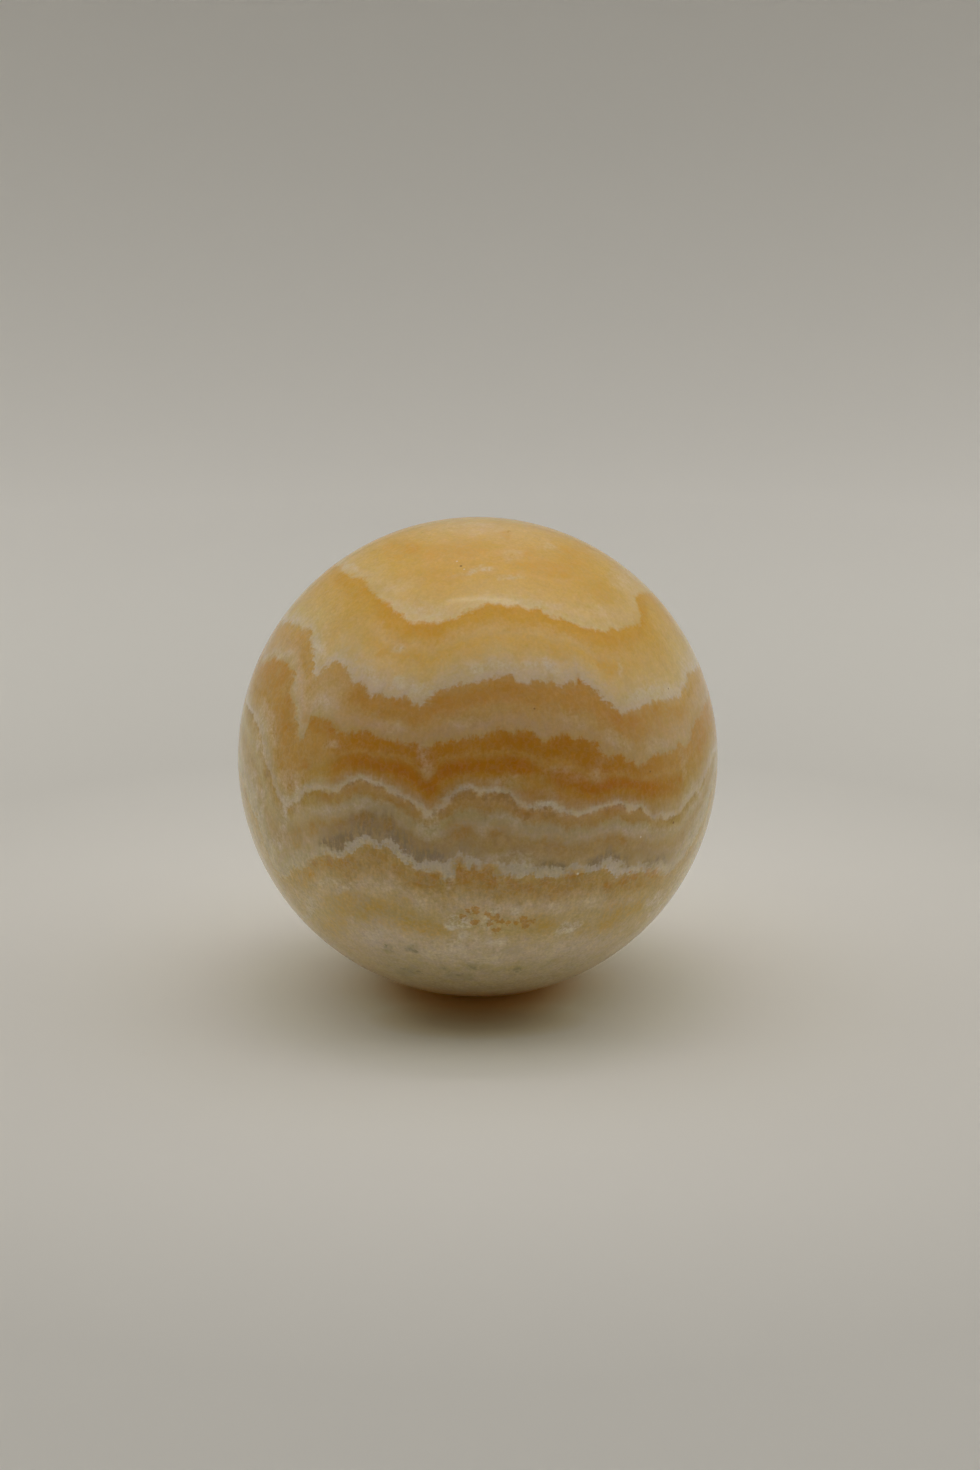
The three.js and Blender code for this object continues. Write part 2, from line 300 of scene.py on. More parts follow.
# Patches of deeper orange and tan
DEEP_MARKS = (
    (-9.7, 26, 2.5, 1.1, 0.28, 10), (-5.7, 25.6, 3.5, 1.1, 0.22), (-0.7, 26.2, 2.8, 1, 0.22),
    (8.9, 23.6, 4.5, 1, 0.28, -6), (12.2, 25.1, 2.5, 1.5, 0.22, -20), (3.8, 28, 0.9, 0.5, 0.34),
    (6.6, 25.9, 0.8, 0.8, 0.28), (16.4, 20.3, 1.8, 1, 0.25, -32), (14.1, 21.9, 1.8, 1, 0.17, -20),
    (-5.9, 22.8, 5, 0.6, 0.14), (-15.3, 21.1, 2.8, 1.1, 0.22, -15), (-11.5, 18.6, 1.5, 1.1, 0.21, -35),
    (20.4, 18.1, 0.8, 3, 0.27, -10), (18.1, 14.6, 3.3, 0.8, 0.21, 5), (10.4, 12.7, 1.9, 0.6, 0.27, -14),
    (16.1, 11.1, 1.6, 1, 0.27, -42), (-11.5, 13.1, 1.4, 0.5, 0.24, 15), (-8.2, 12.4, 1.6, 0.5, 0.27),
    (-0.7, 13.1, 2.3, 0.5, 0.15, 5), (-6.6, 15.6, 3.5, 0.8, 0.21), (-16.2, 13.4, 1.3, 0.8, 0.12),
    (-4.7, 6.3, 2.3, 1, 0.28, 10), (0.1, 7.8, 2, 1, 0.24, 10), (3.8, 8.3, 2.5, 0.9, 0.24),
    (-14.7, 8.1, 1, 1.1, 0.24, -20), (-18.1, 10.4, 2.1, 1.1, 0.21), (-21.5, 14.4, 1, 2, 0.18, -5),
    (16.9, 5.1, 1.6, 1, 0.28, -35), (19.3, 4.3, 0.9, 1.1, 0.32), (23.5, 5.6, 2.5, 0.9, 0.21, 5),
    (8.9, 10.4, 0.2, 0.9, 0.54, -12), (12.7, 9.9, 0.4, 0.6, 0.48), (-9.7, 6.6, 1.5, 0.6, 0.21, -5),
    (-19, 3.6, 1.9, 1.1, 0.56, -15), (-21.6, -0.7, 0.8, 0.6, 0.48), (-24.1, 3.5, 0.9, 3, 0.2),
    (-23.4, 7.1, 0.6, 1.1, 0.32), (5.3, 2.3, 1.9, 0.8, 0.35, -6), (10.7, 2.1, 1.1, 0.9, 0.39),
    (-12.2, -1.6, 3.3, 0.8, 0.36, -8), (-2.2, -1.4, 2.8, 0.9, 0.4, 5), (4.8, -0.8, 1.6, 0.8, 0.36),
    (15.6, -3.6, 1.9, 0.8, 0.42, 5), (18.5, -3.1, 1.8, 0.6, 0.3), (24.9, -3.3, 0.9, 0.5, 0.43),
    (-9.1, -2.9, 1.8, 0.9, 0.32, -15), (-5.9, -4.2, 1.5, 0.9, 0.15), (2.8, 1.5, 2.5, 0.8, 0.24),
    (-15.5, -3.9, 1.6, 0.5, 0.54), (6.3, -7.3, 1.5, 0.5, 0.65, -10), (8.9, -7.3, 0.9, 0.5, 0.35),
    (16.9, -6.9, 1.6, 0.5, 0.54), (22.3, -7.3, 1.1, 0.4, 0.54), (-10.2, -5.7, 1.8, 0.5, 0.49, -12),
    (-22.2, -6.2, 1, 0.5, 0.43, 20), (-20, -4.8, 1.3, 0.5, 0.43), (25.4, -6.9, 0.8, 0.5, 0.32),
    (-12.8, -12, 1.8, 1.1, 0.4), (-17.7, -13.1, 2.1, 0.6, 0.64), (-2.2, -14.6, 1, 1.8, 0.97),
    (1.6, -15.2, 1.3, 1.4, 0.97), (5.5, -16.5, 1.6, 0.6, 0.58), (11.9, -14.6, 1.6, 0.6, 0.77, 20),
    (16.2, -16.3, 0.6, 0.8, 0.89), (19.1, -15.2, 1.9, 0.5, 0.84, 15), (22.4, -14.5, 1.1, 0.6, 0.84, 5),
    (-5.9, -15.6, 1.6, 0.8, 0.64), (-9.7, -14, 1.3, 0.8, 0.35, -25), (-20.7, -14, 1.3, 0.9, 0.51, 25),
    (9.7, -16.1, 2.5, 0.8, 0.2), (-15, -14.1, 5, 1.1, 0.2), (-7.5, -15.6, 2.5, 1.2, 0.3),
    (0, -15.8, 2.8, 1.5, 0.3), (7.5, -16.7, 4.5, 1.1, 0.2), (14, -16, 3, 1.2, 0.15),
    (20.3, -15.7, 3, 1, 0.35, 8), (18, -5, 4, 0.7, 0.25), (-20.2, -8.7, 0.9, 0.9, 0.45),
    (-17.6, -8.1, 1.2, 0.9, 0.35), (-14.3, -7.6, 1.6, 1, 0.5), (-11, -8.4, 1, 0.9, 0.5),
    (-2.5, -8.9, 1.6, 1, 0.45), (2.4, -9.2, 1.3, 0.8, 0.4), (17, -10.2, 2.2, 0.9, 0.4),
    (9.5, -11, 2, 0.9, 0.25), (-22.7, -10.1, 0.6, 1.2, 0.5), (-23.4, -7, 0.5, 0.9, 0.35),
    (-26.2, 5.3, 0.5, 1.8, 0.25, 20), (27.4, 4.2, 0.5, 2.4, 0.4, -25), (27.9, 0.8, 0.4, 2, 0.3, -20),
    (-2.4, -13.6, 0.6, 0.9, 0.6), (-0.3, -14.6, 0.6, 0.8, 0.45), (1.4, -14.6, 0.9, 1, 0.6),
    (8.5, -4, 2.4, 1.1, 0.35), (-20.6, 4.7, 0.9, 0.8, 0.5), (28.2, 3.5, 0.7, 2.4, 0.35, -20),
)
# Ochre areas towards the bottom
OCHRE_MARKS = (
    (-15.5, -18.6, 4, 1.3, 0.6, -8), (-11, -20, 5, 1.6, 0.65, -12), (-6, -21.3, 2.6, 1, 0.6, -10),
    (-17.8, -20.8, 1.8, 1.6, 0.4, -20), (7.6, -21, 2.6, 1.1, 0.7), (17, -20, 3.2, 1.3, 0.55, 25),
    (20.6, -18.4, 1.1, 1.2, 0.5), (13.8, -21.6, 2.4, 0.9, 0.4), (-9.5, -17.9, 1.4, 0.6, 0.3, -15),
    (5.5, -17.6, 4, 0.8, 0.3), (12.6, -15.4, 2.2, 0.8, 0.3), (-22, -15.6, 1.5, 1.2, 0.35, 30),
    (-25.2, 10.3, 1.9, 2.1, 0.6), (-24.3, 5.5, 1.4, 2.6, 0.4), (-21.4, 12.2, 0.7, 2.2, 0.3),
    (19.5, -17.8, 4, 2.6, 0.22), (24, 5.5, 3.5, 1.4, 0.2), (19, 3, 5, 2, 0.2, 10),
    (-16, -17, 2.8, 0.8, 0.35), (-17.6, -10.6, 2.4, 1, 0.14),
)
# Faint grey smudges
GREY_MARKS = (
    (-11.2, -23.9, 0.5, 0.4, 0.51, -35), (-8.2, -24, 0.6, 0.5, 0.6, 20), (-9.1, -26.8, 1.4, 0.6, 0.47),
    (-4.3, -26.5, 0.6, 0.4, 0.51), (-2.2, -27.4, 1.8, 0.5, 0.55), (-0.7, -26.3, 0.8, 0.5, 0.43),
    (5.2, -26.8, 0.5, 0.4, 0.6, 30), (4.1, -24.5, 1.3, 0.5, 0.26),
)
# Each kind of soft mark, in the order in which they are laid over the stone: its marks on the
# photographed side, those of the back as (seed, count, half widths, half heights, strengths), its
# colour, and how it is laid over
MARKS = (
    ("deep", DEEP_MARKS, (22, 120, (1, 5), (0.6, 2), (0.2, 0.6)), (0.92, 0.76, 0.42), "MULTIPLY"),
    ("ochre", OCHRE_MARKS, (26, 40, (2, 7), (0.8, 2.5), (0.2, 0.6)), (0.93, 0.82, 0.50), "MULTIPLY"),
    ("grey", GREY_MARKS, (25, 14, (0.5, 1.6), (0.4, 0.7), (0.2, 0.4)), (0.39, 0.33, 0.19), "MIX"),
    ("white", WHITE_MARKS_AND_HIGHLIGHT, (21, 90, (0.8, 4), (0.3, 0.9), (0.1, 0.4)), (0.77, 0.68, 0.52), "MIX"),
)
# Flecks on the back, scattered as above, and how far below the white layer they lie, in mm
FLECKS_BACK = (24, 30, (0.3, 1.8), (0.3, 0.9), (0.6, 1))
FLECKS_BELOW = 7
FLECK_COLOUR = (0.60, 0.33, 0.07)
# Dark grey that gathers just above the white layer, as (right, height above the layer, and the rest
# as above), then its marks on the back: azimuths in degrees, height above the layer, and limits of
# the half widths in degrees, half heights and strengths
SOOT_MARKS = (
    (-17.6, 0.3, 2, 1.6, 0.7), (-16.5, 0.8, 3.5, 3, 0.3), (-12.4, 0.5, 3.5, 3.4, 0.42),
    (-8.8, 0.2, 2.2, 1.8, 0.6), (-7.5, 0.5, 4, 3, 0.3), (-5.6, 0.2, 1.8, 1.2, 0.55),
    (-1.5, 0.3, 2.8, 2.2, 0.32), (4.5, 0.3, 3, 1.6, 0.2), (9.6, 0.2, 2, 0.9, 0.8),
    (15, 0.2, 1.5, 0.9, 0.8), (18.1, 0.5, 0.7, 1.2, 0.45), (20.5, 0.3, 4, 2, 0.2),
    (22.3, 0.2, 1.6, 0.9, 0.35), (16.8, 0.9, 1.3, 0.9, 0.6),
)
SOOT_SEED = 23
SOOT_COUNT = 18
SOOT_TURNS = (70, 290)
SOOT_HEIGHT = 0.2
SOOT_SIZES = ((3, 8), (0.8, 2), (0.3, 0.8))
SOOT_COLOUR = (0.36, 0.27, 0.16)
# Small spots, as (right, up, radius): sharp orange flecks, dark brown lobes under the thin white line,
# orange lobes under the white layer, and grey-green specks
FLECKS = (
    (-0.3, -19.3, 0.6), (-2, -20, 0.35), (1.2, -19.9, 0.4), (2.2, -20.2, 0.55), (2.9, -20.7, 0.45),
    (3.7, -20.9, 0.4), (-0.4, -20.8, 0.45), (1.5, -21, 0.35), (5.7, -20.4, 0.5), (2.2, -21.8, 0.5),
    (4.8, -20.8, 0.4), (5.9, -21.2, 0.45), (6.8, -20.7, 0.35), (-1.2, -19.4, 0.3), (3.8, 28.3, 0.3),
    (-21.7, -0.8, 0.4),
)
BROWN_LOBES = (
    (-2.9, -5.3, 0.4), (-2.2, -4.9, 0.45), (-1.3, -4.6, 0.5), (-0.6, -4.9, 0.4), (0.9, -5.2, 0.3),
    (1.7, -5.3, 0.35), (2.6, -5.2, 0.4), (3.3, -5.1, 0.45), (4.2, -5.7, 0.4), (4.9, -6.4, 0.35),
    (-5.2, -7.1, 0.35), (6.3, -7.4, 0.45), (8.5, -7.5, 0.3), (9.2, -7.2, 0.4), (16.4, -6.9, 0.25),
)
ORANGE_LOBES = (
    (-2.4, -13.2, 0.5), (-2.2, -14.4, 0.6), (-1.3, -15, 0.5), (-0.4, -14.1, 0.5), (1.2, -14.2, 0.7),
    (0.5, -15.3, 0.6), (2, -15.6, 0.5), (-3.4, -15.8, 0.5), (3.7, -15.5, 0.5), (4.6, -15.9, 0.4),
    (16.3, -16.2, 0.5), (18.4, -15.3, 0.5), (19.6, -15, 0.5), (21.2, -14.5, 0.5), (22.2, -14.4, 0.5),
    (-18.6, -13, 0.5), (-20.4, -13.4, 0.5), (-5.2, -15, 0.5), (-7.2, -14.8, 0.5), (8.4, -15.8, 0.5),
    (11.6, -15, 0.5),
)
SPECKS = (
    (-11.5, -23.8, 0.2), (-10.9, -24.3, 0.2), (-8.6, -24.1, 0.2), (-8, -24.4, 0.25), (-9.4, -26.6, 0.35),
    (-8.4, -26.9, 0.35), (-7.4, -27, 0.3), (-4.2, -26.6, 0.25), (-3.3, -27.1, 0.25), (-2.4, -27.4, 0.35),
    (-0.8, -26.4, 0.25), (-0.3, -26.6, 0.25), (4.9, -26.9, 0.25), (5.4, -26.5, 0.2),
)
# Each kind of spot: how sharply its rim fades per mm, its strength and its colour
SPOTS = (
    (FLECKS, 8, 0.8, (0.59, 0.31, 0.06)), (BROWN_LOBES, 2.2, 0.52, (0.41, 0.22, 0.05)),
    (ORANGE_LOBES, 2, 0.5, (0.56, 0.29, 0.07)), (SPECKS, 8, 0.75, (0.36, 0.31, 0.18)),
)
# Areas that are richer in colour than their layer or paler, and those of the back as above
RICHER_MARKS = ((10.4, 0.8, 2.5, 2, 0.12), (20.4, -4.2, 5, 1.1, 0.3), (0.3, 7.1, 7.5, 1.8, 0.3))
RICHER_BACK = (11, 26, (5, 13), (3, 7), (0.5, 1))
PALER_MARKS = (
    (6.6, -3.2, 3.3, 1.1, 0.6), (-22.2, -0.4, 3.5, 4.3, 0.5), (26.7, 7.1, 3.1, 7.5, 0.4),
    (10.4, -4.2, 2, 0.8, 0.3), (-25, 9, 2.6, 3.6, 0.6), (10, -1.8, 3.2, 1.6, 0.2),
)
PALER_BACK = (12, 16, (4, 9), (2, 5), (0.3, 0.8))
# Azimuths in degrees between which the rich colours of the middle give way to the paler flanks
RICH_TO_LEFT = (-28, -44)
RICH_TO_RIGHT = (32, 58)
# Strength of the mottling at each layer's upper edge and at the bottom
MOTTLE = (0.6, 0.5, 0.6, 0.7, 0.725, 0.75, 0.85, 1.4, 1.3)
# The flanks are more mottled: azimuths over which each one comes in and ends, and its strength
FLANKS = (((-38, -55), (-80, -100), 1), ((48, 65), (80, 100), 0.6))
FLANK_MOTTLE = 0.4
VEIN_COLOUR = (0.77, 0.68, 0.50)
# Pits, and bright crystals whose glints are painted as near-white dots, as (right, up, radius), and the
# strength and colour of each kind
PITS = ((-2.1, 23.9, 0.14), (23.9, 8.5, 0.1), (21.6, -1.9, 0.11), (24.5, -8.3, 0.15), (7.1, 6, 0.1))
CRYSTAL_GLINTS = ((12.5, -14.7, 0.15), (20.4, -10.1, 0.11), (-2.6, 24.5, 0.1), (-1.7, 23.5, 0.09))
DOTS = ((PITS, 0.75, (0.20, 0.08, 0.03)), (CRYSTAL_GLINTS, 0.7, (0.95, 0.90, 0.80)))

# The backdrop, in metres: a round floor that curves up into a wall
FLOOR_RADIUS = 0.28
CURVE_RADIUS = 0.40
WALL_TOP = 0.90
CURVE_STEPS = 24
STAGE_SEGMENTS = 96
# Its colour by distance in millimetres from a place under the ball: an orange glow painted right under
# the ball for light that passes through the stone, then the paper's own colour with painted light and shade
# that change its brightness farther out. Then the painted shade in front of the foot that it is multiplied
# with, by distance from its middle; the shade is twice as wide as deep
PAINTED_GLOW_PLACE = (0, -2, 0)
PAINTED_GLOW_AND_FALLOFF = (
    (0, (1, 0.56, 0.10)), (5, (1, 0.62, 0.15)), (7, (0.98, 0.62, 0.19)), (9.5, (0.95, 0.76, 0.41)),
    (13, (0.93, 0.90, 0.69)), (16.5, (0.92, 0.90, 0.75)), (19, (0.90, 0.88, 0.77)),
    (27, (0.88, 0.86, 0.77)), (34, (0.85, 0.82, 0.75)), (42, (0.82, 0.79, 0.72)),
    (60, (0.77, 0.74, 0.68)), (110, (0.69, 0.665, 0.61)), (200, (0.78, 0.755, 0.695)),
    (310, (0.90, 0.87, 0.81)), (500, (0.85, 0.825, 0.765)),
)
SHADE_PLACE = (0, -14, 0)
SHADE_SQUEEZE = (0.5, 1, 1)
SHADE_COLOURS = (
    (0, (0.72, 0.62, 0.50)), (3, (0.78, 0.71, 0.61)), (5, (0.92, 0.88, 0.80)), (7, (1, 1, 1)),
)

# The lights, in metres and watts, and the dim light from all round
OVERHEAD_SIZE = (1.20, 0.42)
OVERHEAD_WATTS = 1.81
OVERHEAD_PLACE = (0.04, 0.06, 0.36)
STRIP_SIZE = (0.15, 0.008)
STRIP_WATTS = 0.038
STRIP_PLACE = (0.01, 0.012, 0.35)
SURROUND_COLOUR = (0.9, 0.9, 0.88)
SURROUND_STRENGTH = 0.02


def ease(value, start, end):
    """0 up to the start, 1 from the end on, and smooth between them."""
    share = np.clip((value - start) / (end - start), 0, 1)
    return share**2 * (3 - 2 * share)


def azimuth_degrees(points):
    """Azimuths from -180 to 180, with 0 in front and positive to the right."""
    return np.degrees(np.arctan2(points[:, 0], -points[:, 1]))


def on_the_ball(seen):
    """The points of the ball, in mm from its middle, that the camera sees at (right, up)."""
    seen = np.asarray(seen, float)
    eye = TO_CAMERA * VIEW_DISTANCE_MM
    rays = seen[:, :1] * SEEN_RIGHT + seen[:, 1:2] * SEEN_UP - eye
    rays /= np.linalg.norm(rays, axis=1, keepdims=True)
    nearest = -(rays @ eye)
    miss_squared = eye @ eye - nearest**2
    half_chord = np.sqrt(np.maximum(RADIUS_MM**2 - miss_squared, 0))
    points = eye + (nearest - half_chord)[:, None] * rays
    return points * (RADIUS_MM / np.linalg.norm(points, axis=1, keepdims=True))


def seen_from_camera(points):
    """Where the camera sees each point, as (right, up) in mm, and how far it is on the near side."""
    near = points @ TO_CAMERA
    zoom = VIEW_DISTANCE_MM / (VIEW_DISTANCE_MM - near)
    return points @ SEEN_RIGHT * zoom, points @ SEEN_UP * zoom, near


def rim_radii(heights, smallest):
    """Radius of the ball's level circle at each height, but no less than the smallest."""
    return np.sqrt(np.maximum(RADIUS_MM**2 - heights**2, smallest**2))


def dome_line(turns, valleys, bulges):
    """A line over domes: steep beside each valley and flat on each crest."""
    line = np.zeros(len(turns))
    for (start, start_rise), (end, end_rise), bulge in zip(valleys, valleys[1:], bulges):
        share = (turns - start) / (end - start)
        inside = (share >= 0) & (share < 1)
        share = share[inside]
        arch = (1 - np.abs(2 * share - 1)**DOME_CREST_POWER)**DOME_SIDE_POWER
        line[inside] = start_rise + (end_rise - start_rise) * share + bulge * arch
    return line


def small_domes(turns, seed):
    """Narrow lobes along one edge, different for each seed."""
    chance = np.random.default_rng(seed)
    valleys = [(turns[0], 0.0)]
    while valleys[-1][0] < turns[-1]:
        valleys.append((valleys[-1][0] + chance.uniform(*LOBE_DEGREES), chance.uniform(*LOBE_RISES)))
    bulges = chance.uniform(*LOBE_BULGES, len(valleys) - 1)
    return dome_line(turns, valleys, bulges)


def edge_lines():
    """Height of every layer's upper edge at evenly spaced azimuths from 0 to 360 degrees."""
    turns = np.arange(LINE_STEPS) * 360 / LINE_STEPS
    lines = []
    for number, seen in enumerate(LAYER_EDGES):
        points = on_the_ball(seen)
        azimuths = azimuth_degrees(points)
        heights = points[:, 2]
        first, last = azimuths[0] + 360, azimuths[-1]
        line = np.interp((turns + 180) % 360 - 180, azimuths, heights)

        on_back = (turns > last) & (turns < first)
        back_turns = turns[on_back]
        domes = dome_line(np.append(back_turns, (last, first)), BACK_VALLEYS, DOME_BULGES)
        back = BACK_LEVELS[number] + BACK_GAINS[number] * domes
        right_join = 1 - np.clip((back_turns - last) / JOIN_DEGREES, 0, 1)
        left_join = 1 - np.clip((first - back_turns) / JOIN_DEGREES, 0, 1)
        # The lobes come in over the first third of each join
        lobe_share = 1 - np.clip(right_join * 3 - 2, 0, 1) - np.clip(left_join * 3 - 2, 0, 1)
        line[on_back] = (
            back[:-2]
            + small_domes(back_turns, LOBE_SEED + number) * lobe_share
            + (heights[-1] - back[-2]) * ease(right_join, 0, 1)
            + (heights[0] - back[-1]) * ease(left_join, 0, 1)
        )
        if lines:
            line = np.minimum(line, lines[-1] - THINNEST_LAYER)
        lines.append(line)
    return lines


def blurred(line, degrees):
    """The line evened out over a few degrees, all the way round."""
    half = int(degrees * LINE_STEPS / 360)
    window = np.hanning(2 * half + 3)[1:-1]
    window /= window.sum()
    padded = np.concatenate((line[-half:], line, line[:half]))
    return np.convolve(padded, window, "valid")


def layer_values(points, lines):
    """For each point: its layer number and depth in that layer, layers per mm, and edge steepness."""
    azimuths = np.arctan2(points[:, 0], -points[:, 1]) % (2 * math.pi)
    heights = points[:, 2]
    rims = rim_radii(heights, SMALLEST_RIM)
    grid = np.arange(LINE_STEPS + 1) * 2 * math.pi / LINE_STEPS

    tops = [np.full(len(points), RADIUS_MM)]
    slopes = [np.zeros(len(points))]
    for line in lines:
        smooth = blurred(line, SLOPE_DEGREES)
        slope = np.gradient(np.concatenate((smooth[-1:], smooth, smooth[:1])), grid[1])[1:-1]
        tops.append(np.interp(azimuths, grid, np.append(line, line[0])))
        slopes.append(np.interp(azimuths, grid, np.append(slope, slope[0])))
    tops.append(np.full(len(points), -RADIUS_MM))
    slopes.append(np.zeros(len(points)))

    layer = np.zeros(len(points))
    per_mm = np.zeros(len(points))
    steep = np.zeros(len(points))
    for number in range(LAYER_COUNT):
        top, bottom = tops[number], tops[number + 1]
        here = (heights <= top) & (heights >= bottom)
        depth = np.clip((top - heights) / (top - bottom), 0, 1)
        slope = (slopes[number] * (1 - depth) + slopes[number + 1] * depth) / rims
        length = np.sqrt((rims / RADIUS_MM)**2 + slope**2)
        layer[here] = (number + depth)[here]
        per_mm[here] = (length / (top - bottom))[here]
        steep[here] = (np.abs(slope) / length)[here]
    return layer, np.maximum(per_mm, LEAST_LAYERS_PER_MM), steep


def soft_spots(across, up, marks):
    """Strength of overlapping soft ellipses, each (across, up, half width, half height, strength, tilt)."""
    clear = np.ones(len(across))
    for middle_across, middle_up, half_width, half_height, strength, *tilt in marks:
        angle = math.radians(tilt[0] if tilt else 0)
        aside = across - middle_across
        above = up - middle_up
        along = (aside * math.cos(angle) + above * math.sin(angle)) / half_width
        over = (above * math.cos(angle) - aside * math.sin(angle)) / half_height
        clear *= 1 - strength * ease(np.hypot(along, over), MARK_RIM, MARK_CORE)
    return 1 - clear


def scattered(seed, count, widths, heights, strengths, levels=None, above=0.0):
    """Marks scattered round the back, as (azimuth in degrees, height in mm, and the rest as above)."""
    chance = np.random.default_rng(seed)
    marks = []
    for _ in range(count):
        turn = chance.uniform(*BACK_TURNS)
        if levels is None:
            height = RADIUS_MM * chance.uniform(*BACK_HEIGHTS)
        else:
            height = levels[int(turn / 360 * LINE_STEPS)] + above
        marks.append((
            turn, height, chance.uniform(*widths), chance.uniform(*heights),
            chance.uniform(*strengths), chance.uniform(*BACK_TILTS),
        ))
    return marks


def unevenly_moved(points):
    """The points moved a little by smooth noise, so that marks painted at them have natural outlines."""
    noise.seed_set(OUTLINE_SEED)
    moved = points.copy()
    for per_mm, reach in OUTLINE_NOISE:
        moved += reach * np.array([noise.noise_vector(point * per_mm) for point in points])
    return moved


def side_shares(near):
    """How fully the marks of the photographed side and those of the back show at each point."""
    return ease(near, *SEEN_SIDE), 1 - ease(near, *HIDDEN_SIDE)


def marked(points, seen_marks, back_marks):
    """Strength at each point of the marks on the photographed side and round the back."""
    right, up, near = seen_from_camera(points)
    seen_share, back_share = side_shares(near)
    strength = soft_spots(right, up, seen_marks) * seen_share
    turns = azimuth_degrees(points) % 360
    rims = rim_radii(points[:, 2], 1)
    for turn, height, *size in back_marks:
        middle_rim = math.sqrt(RADIUS_MM**2 - height**2)
        across = np.radians((turns - turn + 180) % 360 - 180) * rims
        down = (points[:, 2] - height) * RADIUS_MM / middle_rim
        close = np.flatnonzero(np.abs(down) < FARTHEST_REACH)
        spot = soft_spots(across[close], down[close], ((0, 0, *size),))
        strength[close] = 1 - (1 - strength[close]) * (1 - spot * back_share[close])
    return strength


def soot(points, white_level):
    """Strength of the dark grey just above the white layer."""
    right, _, near = seen_from_camera(points)
    seen_share, back_share = side_shares(near)
    turns = azimuth_degrees(points) % 360
    grid = np.arange(LINE_STEPS + 1) * 360 / LINE_STEPS
    above = points[:, 2] - np.interp(turns, grid, np.append(white_level, white_level[0]))
    chance = np.random.default_rng(SOOT_SEED)
    back_marks = [
        (turn, SOOT_HEIGHT, *(chance.uniform(*limits) for limits in SOOT_SIZES))
        for turn in chance.uniform(*SOOT_TURNS, SOOT_COUNT)
    ]
    seen = soft_spots(right, above, SOOT_MARKS) * seen_share
    back = soft_spots(turns, above, back_marks) * back_share
    return 1 - (1 - seen) * (1 - back)


def richness(points):
    """How richly coloured the stone is, from 0 to 1: full in front and paler towards the flanks."""
    azimuths = azimuth_degrees(points)
    share = 1 - ease(azimuths, *RICH_TO_RIGHT) - ease(azimuths, *RICH_TO_LEFT)
    share = np.clip(share + marked(points, RICHER_MARKS, scattered(*RICHER_BACK)), 0, 1)
    return np.clip(share - marked(points, PALER_MARKS, scattered(*PALER_BACK)), 0, 1)


def flanks(points):
    """Strength, at each point, of the flanks of the photographed side."""
    azimuths = azimuth_degrees(points)
    return sum(
        strength * ease(azimuths, *start) * (1 - ease(azimuths, *end))
        for start, end, strength in FLANKS
    )


def surface_values(points):
    """Every value that the stone's material reads at a point of the surface."""
    lines = edge_lines()
    layer, per_mm, steep = layer_values(points, lines)
    moved = unevenly_moved(points)
    layer_numbers = range(LAYER_COUNT + 1)
    values = {
        "layer": layer,
        "layers_per_mm": per_mm,
        "steep": steep,
        "rich": richness(points),
        "soot": soot(moved, lines[WHITE_LAYER - 1]),
        "flecks": marked(moved, (), scattered(*FLECKS_BACK, lines[WHITE_LAYER], -FLECKS_BELOW)),
        "mottle": np.interp(layer, layer_numbers, MOTTLE) * (1 + FLANK_MOTTLE * flanks(points)),
        "growth": np.interp(layer, layer_numbers, GROWTH_MM),
    }
    for name, seen_marks, back, _, _ in MARKS:
        values[name] = marked(moved, seen_marks, scattered(*back))
    return values


def add_object(name, data):
    """A new object of the scene."""
    added = bpy.data.objects.new(name, data)
    bpy.context.scene.collection.objects.link(added)
    return added


def turned_mesh(name, rings, segments, top=None):
    """A smooth mesh turned about the upright axis, and its vertices.

    It runs from the origin out through rings of (radius, height). With a top it closes in a point at
    that height and faces outward, and without one it is open and faces up.
    """
    turns = np.arange(segments) * 2 * math.pi / segments
    circle = np.column_stack((np.cos(turns), np.sin(turns)))
    vertices = [np.zeros((1, 3))]
    for radius, height in rings:
        vertices.append(np.column_stack((radius * circle, np.full(segments, height))))
    if top is not None:
        vertices.append(np.array([[0, 0, top]]))
    vertices = np.vstack(vertices)

    last_ring = 1 + (len(rings) - 1) * segments
    afters = [(segment + 1) % segments for segment in range(segments)]
    faces = []
    for segment, after in enumerate(afters):
        faces.append((0, 1 + after, 1 + segment))
        if top is not None:
            faces.append((last_ring + segment, last_ring + after, len(vertices) - 1))
    for start in range(1, last_ring, segments):
        above = start + segments
        for segment, after in enumerate(afters):
            faces.append((start + segment, start + after, above + after, above + segment))

    mesh = bpy.data.meshes.new(name)
    mesh.from_pydata(vertices.tolist(), [], faces)
    if top is None:
        mesh.flip_normals()
    mesh.polygons.foreach_set("use_smooth", [True] * len(mesh.polygons))
    return mesh, vertices


